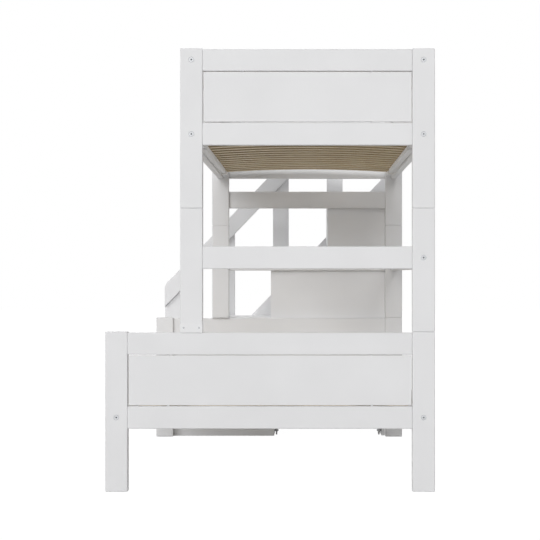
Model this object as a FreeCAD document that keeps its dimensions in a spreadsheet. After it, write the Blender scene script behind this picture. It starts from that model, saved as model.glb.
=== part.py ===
import FreeCAD, Part
import math
import os
import Sketcher

# A bunk bed, 1200 mm wide below and 900 mm above, with storage stairs across its far end.
#
# X runs across the bed, from the room side to the wall side.
# Y runs along it, from the near end to the stairs.  Z is up and the floor is Z = 0.
# Three lengths place every piece:
#   reach  measured from the wall-side face of the bed towards the room (against X)
#   along  measured from the near face of the near posts (with Y)
#   level  measured up from the floor (with Z)

doc = FreeCAD.newDocument("BunkBed")
sheet = doc.addObject("Spreadsheet::Sheet", "Sizes")

SIZES = [
    # the two beds
    ("bed_length", 2090, "outer length of the bed over its end posts"),
    ("lower_width", 1320, "outer width of the lower bed"),
    ("upper_width", 1020, "outer width of the upper bed"),
    ("low_height", 640, "height of the lower and of the upper end frames"),
    ("mid_height", 495, "height of the frame between them"),
    # timber sections
    ("post_width", 90, "post, across the bed"),
    ("post_thick", 45, "post, along the bed"),
    ("rail_height", 90, "rail section, upright"),
    ("rail_thick", 30, "rail section, flat"),
    ("rail_level", 252, "underside of the bottom rails above the foot of their frame"),
    ("top_rail_height", 88, "upper rail of an end frame"),
    ("guard_height", 84, "guard rails along the upper bed"),
    ("top_rail_drop", 3.5, "top rail below the top of the posts"),
    ("panel_thick", 16, "panels of the end frames and of the guards"),
    ("panel_gap", 4, "slit round a panel"),
    ("panel_recess", 3, "face of an end panel behind the faces of its posts and rails"),
    ("post_arris", 2, "bevel on the edges of posts and rails"),
    ("arris", 1, "bevel on the edges of sheet boards"),
    # slats and what carries them
    ("ledger_wide", 27, "ledger, across the bed"),
    ("ledger_high", 20, "ledger, upright"),
    ("ledger_lift", 9, "ledger above the underside of its side rail"),
    ("ledger_short", 180, "length of the end pieces of a ledger"),
    ("ledger_long", 700, "length of the middle pieces of a ledger"),
    ("ledger_gap", 10, "between the two middle pieces"),
    ("slat_count", 16, "slats in each bed"),
    ("slat_wide", 60, "slat, along the bed"),
    ("slat_thick", 9, "slat"),
    ("slat_pitch", 122, "from slat to slat"),
    ("slat_rise", 15, "camber of the slats at mid width"),
    ("slat_play", 4, "from the end of a slat to the side rail"),
    # fixings
    ("bolt_radius", 4, "bolt shank"),
    ("head_radius", 10.5, "bolt head"),
    ("head_thick", 3, "bolt head"),
    ("head_sink", 0.5, "bolt head below the face of the post"),
    ("socket_radius", 3.4, "hexagon socket, over its corners"),
    ("socket_deep", 2, "hexagon socket"),
    ("bolt_reach", 100, "from the outer face of a post to the end of the bolt"),
    ("bore_play", 0.3, "radial room round bolts, pins and dowels"),
    ("bore_spare", 5, "bolt bore beyond the end of the bolt"),
    ("nut_radius", 6, "barrel nut"),
    ("nut_length", 22, "barrel nut"),
    ("nut_inset", 40, "barrel nut from the end of its rail"),
    ("nut_hole", 26, "depth of its hole, open on the side of the mattress"),
    ("dowel_radius", 5, "panel dowel"),
    ("dowel_hold", 12, "length of a dowel in each of its two pieces"),
    ("dowel_inset", 162, "panel dowel from the post, in the end frames"),
    ("guard_inset", 200, "panel dowel from the post, in the guards"),
    ("pin_radius", 6, "steel pin between stacked posts"),
    ("pin_hold", 40, "length of the pin in each post"),
    ("shoe_thick", 2.5, "sheet steel of the post shoe"),
    ("shoe_flange", 33, "height of its upright flange"),
    ("screw_radius", 4, "head of the shoe's screws"),
    ("screw_head", 1.2, "head of the shoe's screws, proud of the shoe"),
    ("screw_spread", 62, "between its two screws"),
    # far upper end
    ("support_level", 1227, "underside of the cross rail at the head of the stairs"),
    ("entry_wide", 330, "clear width of the way in from the stairs"),
    ("stile_wide", 45, "upright beside the way in"),
    # stairs
    ("step_count", 4, "steps"),
    ("step_rise", 320, "height of one step"),
    ("step_run", 305, "going of the lower steps"),
    ("stair_inset", 4, "foot of the stairs behind the room side of the bed"),
    ("stair_depth", 428, "carcass depth"),
    ("board", 18, "carcass board"),
    ("tread_thick", 22, "tread"),
    ("tread_setback", 5, "treads from the bed's end, clear of the post shoe and its screws"),
    ("plinth", 60, "floor of the lowest cubby"),
    ("rail_board", 25, "diagonal and level boards of the balustrade"),
    ("hand_width", 123, "handrail, measured upright"),
    ("hand_level", 688, "underside of the handrail at the foot of the stairs"),
    ("hand_slope", 1.04, "rise of the handrail for each millimetre"),
    ("hand_nose", 18, "radius on the handrail's foremost corner"),
    ("string_width", 125, "lower board, measured upright"),
    ("string_slope", 1.044, "rise of the lower board for each millimetre"),
    ("post_spacing", 307.5, "balustrade posts"),
    ("post_tuck", 3, "posts below the top of the handrail"),
    ("landing_rail", 85, "level rails at the top of the stairs"),
    ("landing_level", 1532, "underside of the lower level rail"),
    # drawer under the upper steps
    ("bay_play", 4, "from the drawer's sides to the bay"),
    ("drawer_lift", 52, "underside of the drawer's sides"),
    ("drawer_side", 188, "height of the drawer's sides"),
    ("side_thick", 16, "drawer side and back"),
    ("bottom_thick", 6, "drawer bottom"),
    ("bottom_lift", 12, "groove above the underside of the sides"),
    ("groove", 6, "depth of the groove for the bottom"),
    ("front_level", 44, "underside of the drawer front"),
    ("front_play", 3, "slit round the drawer front"),
    ("grip_wide", 130, "hand notch in the drawer front"),
    ("grip_deep", 28, "hand notch in the drawer front"),
    ("grip_round", 22, "radius of its lower corners"),
    ("wheel_radius", 24, "drawer wheel"),
    ("wheel_wide", 8, "drawer wheel"),
    ("wheel_lift", 0.3, "drawer wheels above the floor"),
    ("wheel_inset", 62, "wheels from the front and back of the carcass"),
    ("axle_radius", 3, "wheel axle"),
    ("axle_length", 22, "wheel axle"),
    ("axle_play", 0.05, "radial room between wheel and axle"),
    ("fork_thick", 2, "sheet steel of the wheel fork"),
    ("fork_wide", 14, "wheel fork, over its cheeks"),
    ("fork_long", 34, "wheel fork, along the bed"),
    ("fork_taper", 9, "cut off the corners of its cheeks"),
    ("cheek_drop", 6, "cheeks below the axle"),
]

for row, (alias, number, meaning) in enumerate(SIZES, start=1):
    sheet.set(f"A{row}", meaning)
    sheet.set(f"B{row}", str(number))
    sheet.setAlias(f"B{row}", alias)
doc.recompute()

ALIASES = [alias for alias, _, _ in SIZES]


def bind(text):
    """An expression in the sheet's words becomes one that any object can hold."""
    words = []
    word = ""
    for sign in str(text) + " ":
        if sign.isalnum() or sign == "_":
            word += sign
            continue
        words.append(f"Sizes.{word}" if word in ALIASES else word)
        words.append(sign)
        word = ""
    return "".join(words).strip()


def value(text):
    return float(sheet.evalExpression(bind(text)))


PROUD = "(shoe_thick + screw_head)"
NEAR = f"({PROUD} - ({PROUD} + bed_length + stair_depth + rail_board + post_thick) / 2)"
WALL = "(lower_width / 2)"


def put(thing, reach, along, level):
    """Places an object's own origin by the three lengths."""
    thing.setExpression("Placement.Base.x", bind(f"{WALL} - ({reach})"))
    thing.setExpression("Placement.Base.y", bind(f"{NEAR} + ({along})"))
    thing.setExpression("Placement.Base.z", bind(level))


def hide_name(label, use):
    return "".join(part.capitalize() for part in f"{label}_{use}".split("_"))


def joined(label, parts):
    """One named sub-part made of separate solids."""
    group = doc.addObject("Part::Compound", hide_name(label, "group"))
    group.Links = parts
    group.Label = label
    return group


TURNS = {
    "X": FreeCAD.Rotation(FreeCAD.Vector(0, 1, 0), 90),
    "Y": FreeCAD.Rotation(FreeCAD.Vector(1, 0, 0), -90),
    "Z": FreeCAD.Rotation(),
}


def cylinder(label, use, radius, length, axis, reach, along, level):
    """A truly round piece, for what turns."""
    rod = doc.addObject("Part::Cylinder", hide_name(label, use))
    rod.setExpression("Radius", bind(radius))
    rod.setExpression("Height", bind(length))
    rod.Placement = FreeCAD.Placement(FreeCAD.Vector(), TURNS[axis])
    put(rod, reach, along, level)
    return rod


FEW_FLATS = 6
FORK_FLATS = 8
HEAD_FLATS = 10
WHEEL_FLATS = 40


def flatted(label, use, radius, length, axis, reach, along, level, flats=FEW_FLATS):
    """A round piece, or its bore, kept to a few flats because there are dozens of them."""
    rod = doc.addObject("Part::Prism", hide_name(label, use))
    rod.Polygon = flats
    rod.setExpression("Circumradius", bind(radius))
    rod.setExpression("Height", bind(length))
    rod.Placement = FreeCAD.Placement(FreeCAD.Vector(), TURNS[axis])
    put(rod, reach, along, level)
    return rod


def box(label, use, reach, along, level):
    """A block between two reaches, two alongs and two levels."""
    block = doc.addObject("Part::Box", hide_name(label, use))
    block.setExpression("Length", bind(f"({reach[1]}) - ({reach[0]})"))
    block.setExpression("Width", bind(f"({along[1]}) - ({along[0]})"))
    block.setExpression("Height", bind(f"({level[1]}) - ({level[0]})"))
    put(block, reach[1], along[0], level[0])
    return block


def less(label, use, solid, tools):
    """The solid with the tools cut out of it."""
    if not tools:
        return solid
    gathered = doc.addObject("Part::Compound", hide_name(label, use + "_tools"))
    gathered.Links = tools
    cut = doc.addObject("Part::Cut", hide_name(label, use + "_cut"))
    cut.Base = solid
    cut.Tool = gathered
    return cut


def eased_box(label, use, reach, along, level, bevel):
    plain = box(label, f"{use}_plain", reach, along, level)
    doc.recompute()
    eased = doc.addObject("Part::Chamfer", hide_name(label, use))
    eased.Base = plain
    eased.Edges = [(number, value(bevel), value(bevel)) for number in range(1, 13)]
    return eased


def rail(label, use, reach, along, level):
    """A planed pine board with eased edges."""
    return eased_box(label, use, reach, along, level, "post_arris")


def panel(label, use, reach, along, level):
    """A board of sheet material with a small bevel all round."""
    return eased_box(label, use, reach, along, level, "arris")


def named(label, piece):
    piece.Label = label
    return piece


# ---------------------------------------------------------------- sketched bodies

def new_body(label, use=""):
    body = doc.addObject("PartDesign::Body", hide_name(label, use or "body"))
    body.AllowCompound = True
    return body


def plane(body, role):
    return next(item for item in body.Origin.OriginFeatures if item.Role == role)


def new_sketch(body, use, role):
    """A sketch on one of the body's own planes."""
    sketch = body.newObject("Sketcher::SketchObject", body.Name + use)
    sketch.AttachmentSupport = [(plane(body, role), "")]
    sketch.MapMode = "FlatFace"
    return sketch


def hold_point(sketch, geometry, point, across, up):
    """Keeps one point of a sketch at two expressions from the sketch's origin."""
    for kind, axis, text in (("DistanceX", -2, across), ("DistanceY", -1, up)):
        if abs(value(text)) < 1e-9:
            sketch.addConstraint(Sketcher.Constraint("PointOnObject", geometry, point, axis))
            continue
        number = sketch.addConstraint(Sketcher.Constraint(kind, -1, 1, geometry, point, value(text)))
        sketch.setExpression(f"Constraints[{number}]", bind(text))


def draw_outline(sketch, points):
    """A closed outline of straight lines, every corner held by its own two sizes."""
    corners = [FreeCAD.Vector(value(across), value(up), 0) for across, up in points]
    count = len(corners)
    for number in range(count):
        sketch.addGeometry(Part.LineSegment(corners[number], corners[(number + 1) % count]), False)
    for number in range(count):
        sketch.addConstraint(Sketcher.Constraint("Coincident", number, 2, (number + 1) % count, 1))
    for number, (across, up) in enumerate(points):
        hold_point(sketch, number, 1, across, up)


def add_pad(body, sketch, length, backwards=False):
    pad = body.newObject("PartDesign::Pad", sketch.Name + "Pad")
    pad.Profile = sketch
    pad.setExpression("Length", bind(length))
    pad.Reversed = backwards
    doc.recompute()
    return pad


def add_pocket(body, sketch, depth, backwards=False):
    """A pocket that must take material away."""
    before = body.Shape.Volume
    pocket = body.newObject("PartDesign::Pocket", sketch.Name + "Pocket")
    pocket.Profile = sketch
    pocket.setExpression("Length", bind(depth))
    pocket.Reversed = backwards
    doc.recompute()
    assert body.Shape.Volume < before - 1e-3, f"{pocket.Name} cuts nothing"
    return pocket


def ease_edges(body, wanted, size, kind="Fillet"):
    """Rounds or bevels those edges of the body's tip that the test picks."""
    tip = body.Tip
    names = [f"Edge{number}" for number, edge in enumerate(tip.Shape.Edges, start=1) if wanted(edge)]
    eased = body.newObject(f"PartDesign::{kind}", f"{body.Name}{kind}{len(body.Group)}")
    eased.Base = (tip, names)
    eased.setExpression("Radius" if kind == "Fillet" else "Size", bind(size))
    doc.recompute()
    return eased


def upright(edge):
    first, last = edge.Vertexes[0].Point, edge.Vertexes[-1].Point
    return abs(first.z - last.z) > 5 and math.hypot(first.x - last.x, first.y - last.y) < 1e-6


# ---------------------------------------------------------------- posts

def post(label, use, reach, along, foot, height, bolts=(), outward=-1, pins=""):
    """A bed post with counterbored bolt holes and bores for the pins that stack the frames.

    bolts are the levels of the holes above the post's foot, outward is the side that the bolt
    heads are on, and pins holds "top" and "foot" where a steel pin enters that end.
    """
    bar = rail(label, use, (reach, f"{reach} + post_width"), (along, f"{along} + post_thick"),
               (foot, f"{foot} + {height}"))
    middle = f"{reach} + post_width / 2"
    centre = f"{along} + post_thick / 2"
    seat_deep = "head_thick + head_sink"
    seat = along if outward < 0 else f"{along} + post_thick - ({seat_deep})"
    tools = []
    for number, level in enumerate(bolts):
        tools.append(flatted(label, f"{use}_hole{number}", "bolt_radius + bore_play", "post_thick", "Y",
                             middle, along, f"{foot} + {level}"))
        tools.append(flatted(label, f"{use}_seat{number}", "head_radius + bore_play", seat_deep, "Y",
                             middle, seat, f"{foot} + {level}", flats=HEAD_FLATS))
    if "foot" in pins:
        tools.append(flatted(label, use + "_foot", "pin_radius + bore_play", "pin_hold", "Z",
                             middle, centre, foot))
    if "top" in pins:
        tools.append(flatted(label, use + "_top", "pin_radius + bore_play", "pin_hold", "Z",
                             middle, centre, f"{foot} + {height} - pin_hold"))
    return less(label, use, bar, tools)


MID = "low_height"
UPPER = "low_height + mid_height"
FAR = "(bed_length - post_thick)"
SIDE_BOLT = "rail_level + rail_height / 2"
GUARD_RAIL = "low_height - top_rail_drop - guard_height"
GUARD_BOLT = f"{GUARD_RAIL} + guard_height / 2"

parts = []
for end, along, outward in (("near", "0", -1), ("far", FAR, 1)):
    label = f"lower_{end}_posts"
    parts.append(joined(label, [
        post(label, "wall", "0", along, "0", "low_height", [SIDE_BOLT], outward, "top"),
        post(label, "room", "lower_width - post_width", along, "0", "low_height", [SIDE_BOLT], outward),
    ]))
    label = f"mid_{end}_posts"
    parts.append(joined(label, [
        post(label, "wall", "0", along, MID, "mid_height", [SIDE_BOLT], outward, "top foot"),
        post(label, "room", "upper_width - post_width", along, MID, "mid_height", (), outward, "top"),
    ]))
    label = f"upper_{end}_posts"
    parts.append(joined(label, [
        post(label, side, reach, along, UPPER, "low_height", [SIDE_BOLT, GUARD_BOLT], outward, "foot")
        for side, reach in (("wall", "0"), ("room", "upper_width - post_width"))
    ]))

# ---------------------------------------------------------------- end rails and panels

PANEL_FOOT = "rail_level + rail_height + panel_gap"
TOP_RAIL = "low_height - top_rail_drop - top_rail_height"
PANEL_TOP = f"{TOP_RAIL} - panel_gap"
DOWEL_BORE = "dowel_radius + bore_play"


def span(start, length):
    return (start, f"({start}) + ({length})")


def behind_face(end, recess, thick):
    """Where a board lies along the bed when its face is this far behind the outer faces of the posts."""
    start = recess if end == "near" else f"bed_length - {recess} - {thick}"
    return span(start, thick)


def dowel_bores(label, use, reaches, along, level, upwards):
    """Blind holes for panel dowels, entered at a level."""
    start = level if upwards else f"{level} - dowel_hold"
    return [flatted(label, f"{use}_bore{number}", DOWEL_BORE, "dowel_hold", "Z", reach, along, start)
            for number, reach in enumerate(reaches)]


panel_dowels = []


def end_frame(tier, end, foot, first, last, top_first=None):
    """Bottom rail, top rail and panel of one end frame, between two reaches.

    top_first is where the top rail and panel start if they are shorter than the bottom rail.
    """
    name = f"{tier}_{end}"
    rail_along = behind_face(end, "0", "rail_thick")
    panel_along = behind_face(end, "panel_recess", "panel_thick")
    along = f"{panel_along[0]} + panel_thick / 2"
    start = top_first or first
    inner = [f"{start} + dowel_inset", f"{last} - dowel_inset"]
    if top_first:
        inner[0] = f"{start} + dowel_inset / 2"
    bottom_label, panel_label = f"{name}_rails", f"{name}_panel"
    low = rail(bottom_label, "low", (first, last), rail_along, span(f"{foot} + rail_level", "rail_height"))
    high = rail(bottom_label, "high", (start, last), rail_along,
                span(f"{foot} + {TOP_RAIL}", "top_rail_height"))
    low = less(bottom_label, "low_bored", low, dowel_bores(
        bottom_label, "low", inner, along, f"{foot} + rail_level + rail_height", False))
    high = less(bottom_label, "high_bored", high, dowel_bores(
        bottom_label, "high", inner, along, f"{foot} + {TOP_RAIL}", True))
    board = panel(panel_label, "board", (f"{start} + panel_gap", f"{last} - panel_gap"), panel_along,
                  (f"{foot} + {PANEL_FOOT}", f"{foot} + {PANEL_TOP}"))
    board = less(panel_label, "bored", board, dowel_bores(
        panel_label, "foot", inner, along, f"{foot} + {PANEL_FOOT}", True) + dowel_bores(
        panel_label, "top", inner, along, f"{foot} + {PANEL_TOP}", False))
    for number, reach in enumerate(inner):
        for place, level in (("foot", f"{foot} + rail_level + rail_height"),
                             ("top", f"{foot} + {PANEL_TOP}")):
            panel_dowels.append(flatted(name, f"dowel{number}{place}", "dowel_radius",
                                        "panel_gap + 2 * dowel_hold", "Z", reach, along,
                                        f"{level} - dowel_hold"))
    return joined(bottom_label, [low, high]), named(panel_label, board)


LOWER_SPAN = ("post_width", "lower_width - post_width")
UPPER_SPAN = ("post_width", "upper_width - post_width")
ENTRY_SIDE = "post_width + entry_wide"

parts += end_frame("lower", "near", "0", *LOWER_SPAN)
parts += end_frame("lower", "far", "0", *LOWER_SPAN)
parts += end_frame("upper", "near", UPPER, *UPPER_SPAN)
parts += end_frame("upper", "far", UPPER, *UPPER_SPAN, top_first=f"{ENTRY_SIDE} + stile_wide")

for end in ("near", "far"):
    parts.append(named(f"mid_{end}_rail", rail(
        f"mid_{end}_rail", "bar", UPPER_SPAN, behind_face(end, "0", "rail_thick"),
        span(f"{MID} + rail_level", "rail_height"))))
parts.append(named("stair_support_rail", rail(
    "stair_support_rail", "bar", UPPER_SPAN, behind_face("far", "0", "rail_thick"),
    span("support_level", "rail_height"))))
parts.append(named("entry_stile", rail(
    "entry_stile", "bar", span(ENTRY_SIDE, "stile_wide"), behind_face("far", "0", "rail_thick"),
    (f"{UPPER} + rail_level + rail_height", f"{UPPER} + low_height - top_rail_drop"))))

# ---------------------------------------------------------------- side rails and guards

BETWEEN_POSTS = ("post_thick", FAR)
WALL_RAIL = span("(post_width - rail_thick) / 2", "rail_thick")
LOWER_ROOM_RAIL = span("lower_width - (post_width + rail_thick) / 2", "rail_thick")
UPPER_ROOM_RAIL = span("upper_width - (post_width + rail_thick) / 2", "rail_thick")


GUARD_DOWELS = ["post_thick + guard_inset", "bed_length / 2", f"{FAR} - guard_inset"]


def side_rail(label, reach, level, height="rail_height", dowel_level=None):
    """A side rail with a bolt bore and a barrel nut hole at each end.

    dowel_level is where the blind holes for the guard panel's dowels start, if it has them.
    """
    bar = rail(label, "bar", reach, BETWEEN_POSTS, span(level, height))
    middle = f"({reach[0]}) + rail_thick / 2"
    centre = f"{level} + ({height}) / 2"
    deep = "(bolt_reach - post_thick + bore_spare)"
    nut_start = reach[1] if reach == WALL_RAIL else f"{reach[0]} + nut_hole"
    tools = []
    for place, bore_along, nut_along in (("near", "post_thick", "post_thick + nut_inset"),
                                         ("far", f"{FAR} - {deep}", f"{FAR} - nut_inset")):
        tools.append(flatted(label, place + "_bore", "bolt_radius + bore_play", deep, "Y",
                             middle, bore_along, centre))
        tools.append(flatted(label, place + "_nut", "nut_radius + bore_play", "nut_hole", "X",
                             nut_start, nut_along, centre))
    if dowel_level:
        for number, along in enumerate(GUARD_DOWELS):
            tools.append(flatted(label, f"dowel{number}", DOWEL_BORE, "dowel_hold", "Z",
                                 middle, along, dowel_level))
    return named(label, less(label, "bar", bar, tools))


def guard_panel(side, reach, low, high):
    """A guard panel with blind holes for its dowels in both long edges."""
    middle = f"({reach[0]}) + rail_thick / 2"
    use = side + "_board"
    board = panel("guard_panels", use, span(f"{middle} - panel_thick / 2", "panel_thick"),
                  ("post_thick + panel_gap", f"{FAR} - panel_gap"), (low, high))
    tools = []
    for number, along in enumerate(GUARD_DOWELS):
        for place, level in (("foot", low), ("top", f"{high} - dowel_hold")):
            tools.append(flatted("guard_panels", f"{use}_{place}{number}", DOWEL_BORE, "dowel_hold", "Z",
                                 middle, along, level))
            start = f"{low} - panel_gap" if place == "foot" else high
            panel_dowels.append(flatted("guard_panels", f"{side}_dowel_{place}{number}", "dowel_radius",
                                        "panel_gap + 2 * dowel_hold", "Z", middle, along,
                                        f"{start} - dowel_hold"))
    return less("guard_panels", use, board, tools)


bolted = []
for label, reach, level in (
        ("lower_side_rail_room", LOWER_ROOM_RAIL, "rail_level"),
        ("lower_side_rail_wall", WALL_RAIL, "rail_level"),
        ("wall_back_rail", WALL_RAIL, f"{MID} + rail_level"),
        ("upper_side_rail_room", UPPER_ROOM_RAIL, f"{UPPER} + rail_level"),
        ("upper_side_rail_wall", WALL_RAIL, f"{UPPER} + rail_level")):
    dowels = f"{level} + rail_height - dowel_hold" if label.startswith("upper") else None
    parts.append(side_rail(label, reach, level, dowel_level=dowels))
    bolted.append((reach, f"{level} + rail_height / 2"))

guard_panels = []
for side, reach in (("room", UPPER_ROOM_RAIL), ("wall", WALL_RAIL)):
    level = f"{UPPER} + {GUARD_RAIL}"
    parts.append(side_rail(f"guard_rail_{side}", reach, level, "guard_height", dowel_level=level))
    bolted.append((reach, f"{level} + guard_height / 2"))
    guard_panels.append(guard_panel(side, reach, f"{UPPER} + {PANEL_FOOT}", f"{level} - panel_gap"))
parts.append(joined("guard_panels", guard_panels))
parts.append(joined("panel_dowels", panel_dowels))

# ---------------------------------------------------------------- ledgers and slats


def ledgers(label, foot, width):
    """Strips on the inner faces of two side rails: a short piece at each end, two long ones between."""
    pieces = []
    inner = "(post_width + rail_thick) / 2"
    low = f"{foot} + rail_level + ledger_lift"
    middle = "bed_length / 2"
    runs = [
        ("near", "post_thick", "post_thick + ledger_short"),
        ("first", f"{middle} - ledger_gap / 2 - ledger_long", f"{middle} - ledger_gap / 2"),
        ("second", f"{middle} + ledger_gap / 2", f"{middle} + ledger_gap / 2 + ledger_long"),
        ("far", f"{FAR} - ledger_short", FAR),
    ]
    for side, reach in (("wall", span(inner, "ledger_wide")),
                        ("room", span(f"{width} - {inner} - ledger_wide", "ledger_wide"))):
        for place, start, stop in runs:
            pieces.append(box(label, side + place, reach, (start, stop), span(low, "ledger_high")))
    return joined(label, pieces)


def slats(label, foot, width):
    """Sprung slats: one cambered strip, drawn as two arcs between square ends, repeated along the bed."""
    body = new_body(label)
    profile = new_sketch(body, "Profile", "XZ_Plane")
    inner = "(post_width + rail_thick) / 2 + slat_play"
    length = f"({width} - 2 * ({inner}))"
    radius = f"(({length} / 2) * ({length} / 2) + slat_rise * slat_rise) / (2 * slat_rise)"
    long, rise, thick, bend = value(length), value("slat_rise"), value("slat_thick"), value(radius)
    low = Part.Arc(FreeCAD.Vector(0, 0, 0), FreeCAD.Vector(long / 2, rise, 0), FreeCAD.Vector(long, 0, 0))
    high = Part.Arc(FreeCAD.Vector(0, thick, 0), FreeCAD.Vector(long / 2, rise + thick, 0),
                    FreeCAD.Vector(long, thick, 0))
    for curve in (low, high):
        profile.addGeometry(curve, False)
    profile.addGeometry(Part.LineSegment(FreeCAD.Vector(0, thick, 0), FreeCAD.Vector(0, 0, 0)), False)
    profile.addGeometry(Part.LineSegment(FreeCAD.Vector(long, 0, 0), FreeCAD.Vector(long, thick, 0)), False)
    # an arc runs anticlockwise, so a crown starts at its right end
    for line, point, arc, end in ((2, 2, 0, 2), (3, 1, 0, 1), (2, 1, 1, 2), (3, 2, 1, 1)):
        profile.addConstraint(Sketcher.Constraint("Coincident", line, point, arc, end))
    hold_point(profile, 2, 2, "0", "0")
    hold_point(profile, 2, 1, "0", "slat_thick")
    hold_point(profile, 3, 1, length, "0")
    hold_point(profile, 3, 2, length, "slat_thick")
    for arc in (0, 1):
        number = profile.addConstraint(Sketcher.Constraint("Radius", arc, bend))
        profile.setExpression(f"Constraints[{number}]", bind(radius))
    pad = add_pad(body, profile, "slat_wide", backwards=True)
    row = body.newObject("PartDesign::LinearPattern", body.Name + "Row")
    row.Originals = [pad]
    row.Direction = (plane(body, "Y_Axis"), [""])
    row.setExpression("Length", bind("slat_pitch * (slat_count - 1)"))
    row.setExpression("Occurrences", bind("slat_count"))
    body.Tip = row
    first = "(bed_length - slat_pitch * (slat_count - 1) - slat_wide) / 2"
    put(body, f"{width} - ({inner})", first, f"{foot} + rail_level + ledger_lift + ledger_high")
    return named(label, body)


for name, foot, width in (("lower", "0", "lower_width"), ("upper", UPPER, "upper_width")):
    parts.append(ledgers(f"{name}_ledgers", foot, width))
    parts.append(slats(f"{name}_slats", foot, width))

# ---------------------------------------------------------------- bolts, nuts, pins and shoes

def bolt(use, inwards, middle, level):
    """A round-headed connector bolt with a hexagon socket, its head let into the post."""
    near = inwards > 0
    head = "head_sink" if near else "bed_length - head_sink - head_thick"
    shank = "head_sink + head_thick" if near else "bed_length - bolt_reach"
    socket = "head_sink" if near else "bed_length - head_sink - socket_deep"
    disc = flatted("frame_bolts", use + "_head", "head_radius", "head_thick", "Y", middle, head, level,
                   flats=HEAD_FLATS)
    rod = flatted("frame_bolts", use + "_shank", "bolt_radius", "bolt_reach - head_sink - head_thick", "Y",
                  middle, shank, level)
    whole = doc.addObject("Part::Fuse", hide_name("frame_bolts", use))
    whole.Base, whole.Tool = disc, rod
    return less("frame_bolts", use, whole, [
        flatted("frame_bolts", use + "_socket", "socket_radius", "socket_deep", "Y", middle, socket, level)])


def barrel_nut(use, middle, along, level):
    """A cross dowel with a threaded hole for the bolt."""
    barrel = flatted("barrel_nuts", use, "nut_radius", "nut_length", "X",
                     f"{middle} + nut_length / 2", along, level)
    thread = flatted("barrel_nuts", use + "_thread", "bolt_radius + bore_play", "nut_radius * 3", "Y",
                     middle, f"{along} - nut_radius * 1.5", level)
    return less("barrel_nuts", use, barrel, [thread])


bolts, nuts = [], []
for number, (reach, level) in enumerate(bolted):
    middle = f"({reach[0]}) + rail_thick / 2"
    bolts.append(bolt(f"near{number}", 1, middle, level))
    bolts.append(bolt(f"far{number}", -1, middle, level))
    nuts.append(barrel_nut(f"near{number}", middle, "post_thick + nut_inset", level))
    nuts.append(barrel_nut(f"far{number}", middle, f"{FAR} - nut_inset", level))
parts.append(joined("frame_bolts", bolts))
parts.append(joined("barrel_nuts", nuts))

pins = []
for end, along in (("near", "post_thick / 2"), ("far", f"{FAR} + post_thick / 2")):
    for use, reach, level in (("low_wall", "post_width / 2", MID),
                              ("high_wall", "post_width / 2", UPPER),
                              ("high_room", "upper_width - post_width / 2", UPPER)):
        pins.append(flatted("stacking_pins", end + use, "pin_radius", "2 * pin_hold", "Z", reach, along,
                            f"{level} - pin_hold"))
parts.append(joined("stacking_pins", pins))


def shoe(end, along, outward):
    """A bent steel shoe: its web lies under the post, its flange stands against the outer face."""
    body = new_body("post_shoes", end)
    profile = new_sketch(body, "Profile", "YZ_Plane")
    top = "top_rail_drop + shoe_flange"
    wide = "post_thick + shoe_thick"
    if outward < 0:
        corners = [("0", "0"), (wide, "0"), (wide, "top_rail_drop"), ("shoe_thick", "top_rail_drop"),
                   ("shoe_thick", top), ("0", top)]
    else:
        corners = [("0", "0"), (wide, "0"), (wide, top), ("post_thick", top),
                   ("post_thick", "top_rail_drop"), ("0", "top_rail_drop")]
    draw_outline(profile, corners)
    add_pad(body, profile, "post_width")
    put(body, "upper_width", f"{along} - shoe_thick" if outward < 0 else along, f"{MID} - top_rail_drop")
    return body


parts.append(joined("post_shoes", [shoe("near", "0", -1), shoe("far", FAR, 1)]))
screws = []
for end, along in (("near", "- shoe_thick - screw_head"), ("far", "bed_length + shoe_thick")):
    for side, shift in (("wall", "- screw_spread / 2"), ("room", "+ screw_spread / 2")):
        screws.append(flatted("shoe_screws", end + side, "screw_radius", "screw_head", "Y",
                              f"upper_width - post_width / 2 {shift}", along,
                              f"{MID} + shoe_flange / 2", flats=HEAD_FLATS))
parts.append(joined("shoe_screws", screws))

# ---------------------------------------------------------------- stair carcass

BACK = "bed_length"
OUTER = "bed_length + stair_depth"
FIRST = "(lower_width - stair_inset)"
LAST = "post_width"     # the top step runs on to the inner faces of the wall-side posts
BAY_TOP = "step_rise - board"
BAY = (f"{LAST} + board", f"{FIRST} - 2 * step_run - board")


def edge_of(step):
    """Reach of the front edge of a step, counted from 1 at the floor; the last one's end comes after it."""
    return LAST if step > value("step_count") else f"({FIRST} - {step - 1} * step_run)"


def stepped_back():
    """The bed-side panel: a stair-shaped board cut away over the drawer bay."""
    body = new_body("stair_back_panel")
    outline = new_sketch(body, "Outline", "XZ_Plane")
    corners = [("0", "0")]
    for step in range(1, 5):
        height = f"{step} * step_rise - tread_thick"
        corners += [(f"{FIRST} - {edge_of(step)}", height), (f"{FIRST} - {edge_of(step + 1)}", height)]
    corners += [(f"{FIRST} - {LAST}", BAY_TOP), (f"{FIRST} - ({BAY[1]})", BAY_TOP),
                (f"{FIRST} - ({BAY[1]})", "0")]
    draw_outline(outline, corners)
    add_pad(body, outline, "board", backwards=True)
    put(body, FIRST, BACK, "0")
    return named("stair_back_panel", body)


parts.append(stepped_back())
INSIDE = (f"{BACK} + board", OUTER)
parts.append(named("stair_riser", panel(
    "stair_riser", "board", span(f"{FIRST} - board", "board"), INSIDE, ("0", "step_rise - tread_thick"))))
uprights = []
for step, foot in ((2, "0"), (3, "0"), (4, "step_rise")):
    uprights.append(panel("stair_uprights", f"step{step}", span(f"{edge_of(step)} - board", "board"), INSIDE,
                          (foot, f"{step} * step_rise - tread_thick")))
uprights.append(panel("stair_uprights", "end", span(LAST, "board"), INSIDE,
                      ("0", "step_count * step_rise - tread_thick")))
parts.append(joined("stair_uprights", uprights))

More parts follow.
